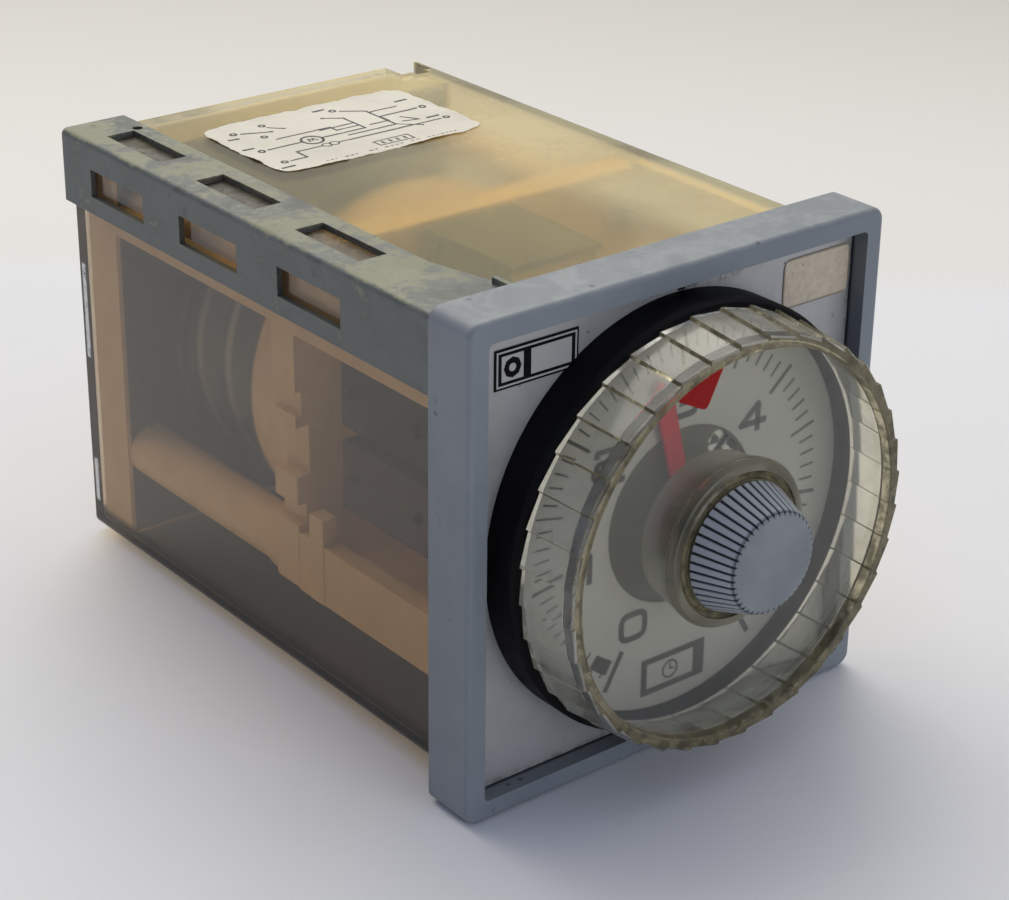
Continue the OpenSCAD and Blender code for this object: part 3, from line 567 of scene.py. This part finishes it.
def build_cap():
    """Clear dial: a tapered skirt of flat facets that step like saw teeth, a lip, a window and a hub boss."""
    facets = 36
    pitch = 360 / facets
    tilt = math.radians(5.5)  # how far each facet turns, so that it steps up from the one before
    rear_y, rear_r, taper = -11.5, 30.12, 0.0998
    # the section, from the skirt's rear edge round the window and the boss and back; o rows are insets
    # from the facet, c rows are radii
    loop = [
        ("o", 0.12, -11.5), ("o", 0.0, -11.62), ("o", 0.0, -20.78), ("o", 0.22, -21.0),
        ("c", 27.80, -21.0), ("c", 27.62, -20.82), ("c", 27.6, -19.5), ("c", 27.5, -19.4),
        ("c", 12.05, -19.4), ("c", 11.9, -19.55), ("c", 11.6, -20.05), ("c", 11.3, -20.2),
        ("c", 10.5, -20.2), ("c", 10.35, -19.9), ("c", 9.9, -19.7), ("c", 9.5, -19.9), ("c", 9.35, -20.2),
        ("c", 3.0, -20.2), ("c", 3.0, -12.6), ("c", 4.6, -12.6), ("c", 4.6, -18.2), ("c", 4.75, -18.3),
        ("c", 10.05, -18.3), ("c", 10.2, -18.1), ("c", 9.6, -12.6), ("c", 10.9, -12.6), ("c", 11.8, -18.1),
        ("c", 12.0, -18.3), ("c", 28.0, -18.3), ("c", 28.12, -18.15), ("c", 28.9, -11.5)]
    cols = [(i * pitch + phi, phi) for i in range(facets) for phi in (-4.72, -1.6, 1.6, 4.72)]
    stuff = [M["cap"], M["cap_edge"], M["cap_skirt"], M["cap_boss"]]
    window, edge, skirt, boss = range(len(stuff))
    verts, faces, mats = [], [], []
    for th, phi in cols:
        s, c = math.sin(math.radians(th)), math.cos(math.radians(th))
        for kind, r, y in loop:
            if kind == "o":
                middle = rear_r + (y - rear_y) * taper
                r = middle * math.cos(tilt) / math.cos(math.radians(phi) - tilt) - r
            verts.append((r * s, y, r * c))
    n, k = len(loop), len(cols)
    for j in range(k):
        a, b = j * n, ((j + 1) % k) * n
        step = j % 4 == 3
        for i in range(n):
            i2 = (i + 1) % n
            faces.append((a + i, a + i2, b + i2, b + i))
            if (step and i < 3) or 3 <= i <= 6 or 12 <= i <= 15:
                mats.append(edge)
            elif i < 3 or i == 29:
                mats.append(skirt)
            elif 8 <= i <= 26:
                mats.append(boss)
            else:
                mats.append(window)
    return set_mesh("dial_cap_clear", verts, faces, stuff, "set_dial", ["dial_cap"], mats, 22)


def build_knob():
    """Tapered knob: broad ridges between narrow flutes that run out through the front rim."""
    flutes, deep = 44, 0.36
    stem_rear, stem_r = -13.2, 2.95
    # place across one flute's pitch, part of the flute's depth
    across = ((0.0, 0.0), (0.30, 0.0), (0.37, 0.25), (0.44, 1.0), (0.56, 1.0), (0.63, 0.25), (0.70, 0.0))
    rows = [  # y, radius, part of the flute's depth
        (KNOB_REAR, KNOB_REAR_R - 0.25, 0.6),
        (KNOB_REAR - 0.15, KNOB_REAR_R - 0.05, 0.9),
        (KNOB_FRONT + 0.2, KNOB_FRONT_R + 0.07, 1.0),
        (KNOB_FRONT - 0.15, KNOB_FRONT_R - 0.10, 1.0),
        (KNOB_FRONT - 0.40, KNOB_FRONT_R - 0.34, 0.9),
        (KNOB_FRONT - 0.49, KNOB_FRONT_R - 0.62, 0.35),
        (KNOB_FRONT - 0.50, KNOB_FRONT_R - 0.95, 0.0),
        (KNOB_FRONT - 0.46, 3.0, 0.0)]
    stem = [(stem_rear, stem_r), (KNOB_REAR + 0.05, stem_r)]
    cols = [((i + u) / flutes * 2 * math.pi, d) for i in range(flutes) for u, d in across]
    verts, faces = [], []
    for a, d in cols:
        for y, r in stem:
            verts.append((r * math.sin(a), y, r * math.cos(a)))
        for y, r, part in rows:
            rr = r - deep * d * part
            verts.append((rr * math.sin(a), y, rr * math.cos(a)))
    n, k = len(stem) + len(rows), len(cols)
    for j in range(k):
        a, b = j * n, (j + 1) % k * n
        for i in range(n - 1):
            faces.append((a + i, a + i + 1, b + i + 1, b + i))
    back, front = len(verts), len(verts) + 1
    verts += [(0, stem_rear, 0), (0, KNOB_FRONT - 0.44, 0)]
    for j in range(k):
        a, b = j * n, (j + 1) % k * n
        faces += [(a, b, back), (a + n - 1, front, b + n - 1)]
    return set_mesh("knob_fluted", verts, faces, [M["knob"]], "set_dial", ["center_knob"],
                    sharp=35)


def build_flat(name, outline, y0, y1, bevel, mat, body, node, bore=2.56):
    """A flat piece with a bevelled front edge and a hole at the dial's centre where bore is set."""
    n = len(outline)
    mid = sum((Vector(p) for p in outline), Vector((0.0, 0.0))) / n
    sides = ribbon(outline, 2 * bevel, True)
    small = min(sides, key=lambda ring: sum((p - mid).length for p in ring))
    inner = [Vector(p).normalized() * bore for p in outline] if bore else [mid] * n
    # back outline, front outline, bevelled outline, then the hole's front and back
    loops = [(outline, y1), (outline, y0 + bevel), (small, y0), (inner, y0), (inner, y1)]
    verts = [(p[0], y, p[1]) for ring, y in loops for p in ring]
    faces = []
    for ring in range(5 if bore else 3):
        for i in range(n):
            a, b = ring * n + i, ring * n + (i + 1) % n
            up = -4 * n if ring == 4 else n
            faces.append((a, b, b + up, a + up))
    if not bore:
        # no hole: fans close the front and the back
        verts = verts[:3 * n] + [(mid.x, y0, mid.y), (mid.x, y1, mid.y)]
        faces = faces[:2 * n]
        for i in range(n):
            j = (i + 1) % n
            faces += [(2 * n + i, 2 * n + j, 3 * n), (i, j, 3 * n + 1)]
    return set_mesh(name, verts, faces, [mat], body, [node], sharp=30)


def turned(points, deg):
    """Points as (across, out) pairs along the dial angle deg, turned into x, z."""
    s, c = math.sin(math.radians(deg)), math.cos(math.radians(deg))
    return [(a * c + r * s, r * c - a * s) for a, r in points]


def build_pointers():
    """The red arrow on the dial's window, and the tinted hand with its round hub."""
    bevel, hub_r = 0.12, 4.55
    arrow = fillet([(-4.6, 27.0), (4.6, 27.0), (0.0, 22.3)], 0.9, True, 4)
    build_flat("set_pointer_arrow", turned(arrow, SET_DEG), -19.93, -19.42, bevel, M["red"], "set_dial",
               "set_pointer", bore=0)
    blade = [(-1.5, 4.6), (-1.45, 12.0), (-1.6, 19.4), (0.0, 21.3), (1.6, 19.4), (1.45, 12.0), (1.5, 4.6)]
    around = [math.radians(t) for t in range(30, 331, 20)]
    hub = [(hub_r * math.sin(a), hub_r * math.cos(a)) for a in around]
    build_flat("elapsed_pointer", turned(blade + hub, HAND_DEG), -9.65, -9.15, bevel, M["hand"], "elapsed",
               "elapsed_hand")


def fillet(pts, r, closed=False, steps=5):
    """A polyline with its corners turned to arcs of radius r, as far as the sides leave room."""
    out, n = [], len(pts)
    for i, p in enumerate(pts):
        if not closed and i in (0, n - 1):
            out.append(p)
            continue
        a, b = Vector(pts[i - 1]) - Vector(p), Vector(pts[(i + 1) % n]) - Vector(p)
        cut = min(r, a.length * 0.5, b.length * 0.5)
        if a.angle(b) > 3.1:
            out.append(p)
            continue
        p0, p1, pv = Vector(p) + a.normalized() * cut, Vector(p) + b.normalized() * cut, Vector(p)
        for k in range(steps + 1):
            t = k / steps
            out.append(tuple(p0 * (1 - t) ** 2 + pv * 2 * t * (1 - t) + p1 * t * t))
    return out


def ribbon(pts, width, closed=False):
    """Left and right edges of a stroke along a polyline, with mitred corners."""
    n, left, right_side = len(pts), [], []
    for i, p in enumerate(pts):
        prev = pts[i - 1] if (closed or i > 0) else None
        nxt = pts[(i + 1) % n] if (closed or i < n - 1) else None
        d0 = (Vector(p) - Vector(prev)).normalized() if prev is not None else None
        d1 = (Vector(nxt) - Vector(p)).normalized() if nxt is not None else None
        if d0 is None or d0.length == 0:
            d0 = d1
        if d1 is None or d1.length == 0:
            d1 = d0
        t = (d0 + d1).normalized()
        nrm = Vector((-t.y, t.x))
        k = min(1.6, 1 / max(0.5, nrm.dot(Vector((-d0.y, d0.x)))))
        left.append(Vector(p) + nrm * width / 2 * k)
        right_side.append(Vector(p) - nrm * width / 2 * k)
    return left, right_side


class Print:
    """Collects printed strokes as thin closed slabs.

    place(u, v, level) gives the point in mm, where level 1 is the top of the ink and 0 its underside.
    """

    def __init__(self, place):
        self.place, self.verts, self.faces = place, [], []

    def strip(self, left, right_side, closed=False):
        base, n = len(self.verts), len(left)
        for p, q in zip(left, right_side):
            for (u, v), level in ((p, 1), (q, 1), (q, 0), (p, 0)):
                self.verts.append(self.place(u, v, level))
        for i in range(n if closed else n - 1):
            a, b = base + 4 * i, base + 4 * ((i + 1) % n)
            for k in range(4):
                k2 = (k + 1) % 4
                self.faces.append((a + k, b + k, b + k2, a + k2))
        if not closed:
            e = base + 4 * (n - 1)
            self.faces += [(base, base + 1, base + 2, base + 3), (e + 3, e + 2, e + 1, e)]

    def line(self, pts, width, closed=False, step=None):
        if step:
            fine, n = [], len(pts)
            for i in range(n if closed else n - 1):
                a, b = Vector(pts[i]), Vector(pts[(i + 1) % n])
                k = max(1, int((b - a).length / step))
                fine += [tuple(a.lerp(b, j / k)) for j in range(k)]
            if not closed:
                fine.append(tuple(pts[-1]))
            pts = fine
        self.strip(*ribbon(pts, width, closed), closed)

    def ring(self, c, r, width, n=28):
        turns = [2 * math.pi * i / n for i in range(n)]
        self.line([(c[0] + r * math.sin(a), c[1] + r * math.cos(a)) for a in turns], width, True)

    def bar(self, p, q, width):
        self.line([p, q], width)


NUMERALS = {  # strokes in a 4 by 3.6 cell: points, closed, corner radius
    0: [([(0, 0), (4, 0), (4, 3.6), (0, 3.6)], True, 1.3)],
    1: [([(0.9, 3.0), (2.2, 3.75), (2.2, -0.4)], False, 0.3)],
    2: [([(0.1, 2.6), (0.2, 3.6), (4, 3.6), (4, 1.9), (0, 1.7), (0, 0), (4.4, 0)], False, 0.9)],
    3: [([(0, 3.6), (4, 3.6), (4, 1.85), (2.6, 1.8)], False, 0.9),
        ([(1.2, 1.8), (4, 1.8), (4, 0), (-0.2, 0)], False, 0.9)],
    4: [([(2.9, -0.4), (2.9, 3.6), (-0.1, 0.95), (4.4, 0.95)], False, 0.25)],
    5: [([(4.1, 3.6), (0.1, 3.6), (0.1, 2.1), (4, 2.1), (4, 0), (-0.2, 0)], False, 0.8)],
    6: [([(3.9, 3.6), (0, 3.6), (0, 0), (4, 0), (4, 2.0), (0.2, 2.0)], False, 1.0)],
}


def build_scale_marks():
    """Printed graduations, numerals 0 to 6, the end lines and a boxed clock sign."""
    zero, unit, parts = -151.25, 50.0, 10
    top_y, under_y = -8.335, -8.262
    pr = Print(lambda u, v, level: (u, top_y if level else under_y, v))

    def at(deg, r):
        return r * math.sin(math.radians(deg)), r * math.cos(math.radians(deg))

    for i in range(1, 6 * parts):
        if i % parts == 0:
            r0, r1, width = 20.6, 25.6, 0.55
        elif i % 5 == 0:
            r0, r1, width = 20.9, 25.4, 0.34
        else:
            r0, r1, width = 22.3, 24.8, 0.30
        a = zero + i * unit / parts
        pr.bar(at(a, r0), at(a, r1), width)
    for n, strokes in NUMERALS.items():
        cx, cz = at(zero + n * unit, 16.6)
        for pts, closed, r in strokes:
            moved = [(cx - 2.1 + 1.05 * p[0], cz - 1.85 + 1.03 * p[1]) for p in pts]
            pr.line(fillet(moved, r, closed), 0.92, closed)
    for n in (0, 6):
        pr.bar(at(zero + n * unit, 20.4), at(zero + n * unit, 26.5), 0.8)

    # solid flag beside the zero line
    inner, outer = ((3.0, 22.0), (7.0, 22.0), (11.5, 22.1)), ((3.0, 24.2), (7.0, 24.2), (11.5, 24.1))
    pr.strip([at(zero + a, r) for a, r in inner], [at(zero + a, r) for a, r in outer])

    # box with a thick right side, and the clock sign in it
    x0, x1, z0, z1, wall = -6.1, 5.5, -26.5, -20.8, 0.9
    pr.bar((x0, z0 + wall / 2), (x1, z0 + wall / 2), wall)
    pr.bar((x0, z1 - wall / 2), (x1, z1 - wall / 2), wall)
    pr.bar((x0 + 0.5, z0 + 0.95), (x0 + 0.5, z1 - 0.95), 1.0)
    pr.bar((x1 - 1.0, z0 + 0.95), (x1 - 1.0, z1 - 0.95), 2.0)
    clock = (-0.8, -23.7)
    pr.ring(clock, 1.3, 0.28)
    pr.line([(clock[0] + 0.7, clock[1]), clock, (clock[0], clock[1] + 0.9)], 0.24)
    return set_mesh("scale_marks", pr.verts, pr.faces, [M["scale_ink"]], "case", ["scale_print"])


# the paper label's sides and ends, and the height of the roof under it
LX0, LX1 = -17.7, 20.4
LY0, LY1 = 58.6, 83.4
LZ = 32.7


def paper_z(x, y):
    """Height of the peeling label: creased in the middle, and lifting a little at its edges and corners."""
    e = min((x - LX0) / 5, (LX1 - x) / 5, (y - LY0) / 4, (LY1 - y) / 4)
    e = max(0.0, min(1.0, e))
    wave = 0.26 * noise.noise((x * 0.21, y * 0.23, 3.1)) + 0.12 * noise.noise((x * 0.6, y * 0.6, 8.0))
    lift = (1 - e) ** 2 * (0.16 + wave)
    crease = 0.07 * noise.noise((x * 0.30 + y * 0.2, y * 0.45, 1.0))
    crinkle = 0.03 * noise.noise((x * 0.9, y * 0.8, 4.0))
    return LZ + 0.05 + max(-0.03, lift + (crease + crinkle))


def torn(slow_at, slow_depth, quick_at, quick_depth):
    """How far a torn edge runs in (negative) or out, from a slow wave and a quick one."""
    return -0.42 + slow_depth * noise.noise(slow_at) + quick_depth * noise.noise(quick_at)


def build_label():
    """Peeling paper with torn, wavy edges and rounded corners."""
    nx, ny, thick = 84, 56, 0.07
    verts, faces = [], []
    for j in range(ny + 1):
        for i in range(nx + 1):
            u, v = i / nx, j / ny
            x, y = LX0 + u * (LX1 - LX0), LY0 + v * (LY1 - LY0)
            near_side, near_end = abs(2 * u - 1), abs(2 * v - 1)
            corner = near_side ** 6 * near_end ** 6
            side = torn((0.0, y * 0.42, 2.0 + round(u)), 0.40, (0.0, y * 1.9, 5.0 + round(u)), 0.26)
            end = torn((x * 0.36, 0.0, 11.0 + round(v)), 0.42, (x * 1.8, 0.0, 15.0 + round(v)), 0.28)
            dx = near_side ** 10 * side - corner * 1.1
            dy = near_end ** 10 * end - corner * 0.9
            x += dx * (1 if u > 0.5 else -1)
            y += dy * (1 if v > 0.5 else -1)
            verts.append((x, y, paper_z(x, y)))
    n = len(verts)
    verts += [(x, y, z - thick) for x, y, z in verts]
    row = nx + 1
    for j in range(ny):
        for i in range(nx):
            a = j * row + i
            faces.append((a, a + 1, a + 1 + row, a + row))
            faces.append((n + a, n + a + row, n + a + 1 + row, n + a + 1))
    rim = list(range(nx)) + [nx + j * row for j in range(ny)]
    rim += [ny * row + i for i in range(nx, 0, -1)] + [j * row for j in range(ny, 0, -1)]
    for a, b in zip(rim, rim[1:] + rim[:1]):
        faces.append((a, n + a, n + b, b))
    return set_mesh("label_paper_sheet", verts, faces, [M["paper"]], "case", ["wiring_label"],
                    sharp=60)


WIRES = [  # a made-up circuit: routes of the plain lines, x and y
    [(-13.2, 69.6), (-6.9, 69.6)],
    [(-3.5, 69.6), (4.6, 69.6), (4.6, 75.4), (2.2, 77.0)],
    [(4.6, 72.6), (-1.8, 72.6)],
    [(-9.4, 73.0), (0.4, 73.0), (0.4, 71.2), (4.6, 71.2)],
    [(-13.2, 63.6), (-10.2, 63.6), (-10.2, 66.4), (-5.6, 66.4)],
    [(-2.6, 66.4), (16.6, 66.4)],
    [(16.8, 72.8), (9.6, 72.8), (9.6, 70.4), (6.0, 70.4)],
    [(6.0, 78.6), (9.4, 76.2), (9.4, 68.4), (12.6, 65.4)],
    [(-12.4, 78.2), (-8.2, 76.6)],
    [(-7.4, 78.6), (-5.4, 76.4)],
    [(9.4, 75.4), (14.8, 75.4)],
    [(0.4, 68.2), (9.4, 68.2)],
]
DASHES = [(-16.2, 61.4, 2.4), (-16.4, 71.4, 2.0), (15.0, 68.0, 2.4), (15.6, 77.2, 2.4), (2.4, 80.6, 2.2),
          (-15.6, 76.6, 2.0)]  # start x, y, length
DOTS = [(-14.2, 69.6), (-14.2, 63.6), (-13.4, 78.6), (17.6, 66.4), (17.8, 72.8), (5.2, 79.2), (-7.6, 79.6),
        (-10.2, 75.0)]


def build_label_print():
    """Plain lines, rings and dots, pressed onto the creased paper."""
    pr = Print(lambda u, v, level: (u, v, paper_z(u, v) + (0.022 if level else -0.01)))

    def go(pts, width=0.36, closed=False):
        pr.line(pts, width, closed, step=0.5)

    for pts in WIRES:
        go(pts)
    go([(11.0, 68.9), (13.8, 68.2), (12.0, 70.9)], 0.34)
    for x, y, length in DASHES:
        go([(x, y), (x + length, y)], 0.5)
    pr.ring((-5.2, 69.6), 1.7, 0.42)
    for x in (-4.7, -3.4):
        pr.ring((x, 66.4), 0.75, 0.24)
    go([(-5.9, 69.0), (-5.6, 70.3), (-5.2, 69.3), (-4.8, 70.3), (-4.5, 69.0)], 0.26)
    go([(1.6, 61.4), (7.8, 61.4), (7.8, 63.4), (1.6, 63.4)], 0.26, True)
    for k in range(4):
        go([(2.7 + 1.35 * k, 61.9), (2.7 + 1.35 * k, 62.9)], 0.42)
    for dot in DOTS:
        pr.ring(dot, 0.46, 0.36, 10)
    for (x, y), (dx, dy) in (((-8.2, 76.6), (0.55, -0.22)), ((2.2, 77.0), (-0.55, 0.33))):
        go([(x, y), (x + dx, y + dy)], 0.55)

    # a row of short dashes stands for the small print
    rng = random.Random(4)
    x = -9.0
    while x < 15:
        w = rng.uniform(0.25, 0.8)
        if rng.random() < 0.75:
            go([(x, 60.3), (x + w, 60.3)], 0.22)
        x += w + 0.35
    return set_mesh("label_lines", pr.verts, pr.faces, [M["label_ink"]], "case", ["label_print"])


build_cap()
build_knob()
build_pointers()
build_scale_marks()
build_label()
build_label_print()

# ---------------------------------------------------------------- camera, floor, light

def build_camera():
    """The camera stands where the photograph was taken from."""
    data = bpy.data.cameras.new("camera")
    data.lens = 89.6
    data.sensor_width = 36.0
    data.clip_start = 0.01
    cam = bpy.data.objects.new("camera", data)
    scene.collection.objects.link(cam)
    place = Vector((-208.07, -228.50, 152.81)) * MM
    right = Vector((0.7815, -0.6238, 0.0116))
    down = Vector((-0.2600, -0.3425, -0.9028))
    ahead = Vector((0.5671, 0.7026, -0.4298))
    cam.matrix_world = Matrix.Translation(place) @ Matrix((right, -down, -ahead)).transposed().to_4x4()
    scene.camera = cam


def floor_material():
    """Pale table that turns a little warmer and darker with distance."""
    m = Mat("floor_pale")
    x, y, _ = m.xyz()
    # distance away from the camera along the floor
    far = m.math("ADD", m.times(x, 0.628), m.times(y, 0.778))
    fine = m.noise(60.0, 4.0)
    col = m.mix(m.ramp(far, 0.155, 0.175), (0.80, 0.80, 0.81), (0.79, 0.775, 0.73))
    col = m.mix(m.ramp(far, 0.17, 0.46), col, (0.56, 0.54, 0.47))
    col = m.mix(m.times(m.ramp(fine, 0.3, 0.7), 0.04), col, (0.6, 0.6, 0.6))
    return m.done(m.principled(Base_Color=col, Roughness=0.62, Normal=m.bump(fine, 0.03, 0.0005)))


def build_floor():
    """The table rises slightly to the rear, since the timer stands on its bezel and the lower strip."""
    reach, height, slope = 4.0, -0.03605, 2.3 / 94.2
    corners = [(-reach, -reach), (reach, -reach), (reach, reach), (-reach, reach)]
    me = bpy.data.meshes.new("floor")
    me.from_pydata([(x, y, height + y * slope) for x, y in corners], [], [(0, 1, 2, 3)])
    me.materials.append(floor_material())
    floor = bpy.data.objects.new("floor", me)
    scene.collection.objects.link(floor)


def area(name, place, aim, size, power, colour):
    """A rectangular lamp that looks from place towards aim."""
    data = bpy.data.lights.new(name, "AREA")
    data.shape = "RECTANGLE"
    data.size, data.size_y = size
    data.energy = power
    data.color = colour
    lamp = bpy.data.objects.new(name, data)
    lamp.location = place
    lamp.rotation_euler = (Vector(aim) - Vector(place)).to_track_quat("-Z", "Y").to_euler()
    scene.collection.objects.link(lamp)


def build_world():
    """Soft sky: bright and warm behind the timer's right, dim and blue on the other side."""
    world = bpy.data.worlds.new("studio")
    scene.world = world
    world.use_nodes = True
    tree = world.node_tree
    tree.nodes.clear()
    new, link = tree.nodes.new, tree.links.new
    out = new("ShaderNodeOutputWorld")
    sky = new("ShaderNodeBackground")
    place = new("ShaderNodeTexCoord")

    towards = new("ShaderNodeVectorMath")
    towards.operation = "DOT_PRODUCT"
    towards.inputs[1].default_value = Vector((0.48, 0.61, 0.63)).normalized()
    link(place.outputs["Generated"], towards.inputs[0])

    strength = new("ShaderNodeMapRange")
    strength.interpolation_type = "SMOOTHSTEP"
    for name, value in (("From Min", -0.3), ("From Max", 0.95), ("To Min", 0.25), ("To Max", 0.80)):
        strength.inputs[name].default_value = value
    link(towards.outputs["Value"], strength.inputs["Value"])
    link(strength.outputs[0], sky.inputs["Strength"])

    warmth = new("ShaderNodeMapRange")
    warmth.inputs["From Min"].default_value = -0.2
    warmth.inputs["From Max"].default_value = 0.7
    link(towards.outputs["Value"], warmth.inputs["Value"])

    colour = new("ShaderNodeMix")
    colour.data_type = "RGBA"
    colour.inputs[6].default_value = (0.38, 0.52, 1.0, 1)
    colour.inputs[7].default_value = (1.0, 0.985, 0.95, 1)
    link(warmth.outputs[0], colour.inputs[0])
    link(colour.outputs[2], sky.inputs["Color"])
    link(sky.outputs[0], out.inputs["Surface"])


build_camera()
build_floor()
area("key", (0.17, 0.64, 0.88), (0, 0.04, 0), (1.1, 0.9), 7.0, (1.0, 0.955, 0.87))
area("fill", (0.12, -1.15, 0.32), (0, 0.02, 0), (0.6, 0.6), 3.0, (0.95, 0.97, 1.0))
build_world()

scene.view_settings.view_transform = "Standard"
scene.view_settings.look = "None"
scene.cycles.transparent_max_bounces = 24
scene.cycles.max_bounces = 16
scene.cycles.transmission_bounces = 14
scene.cycles.glossy_bounces = 6
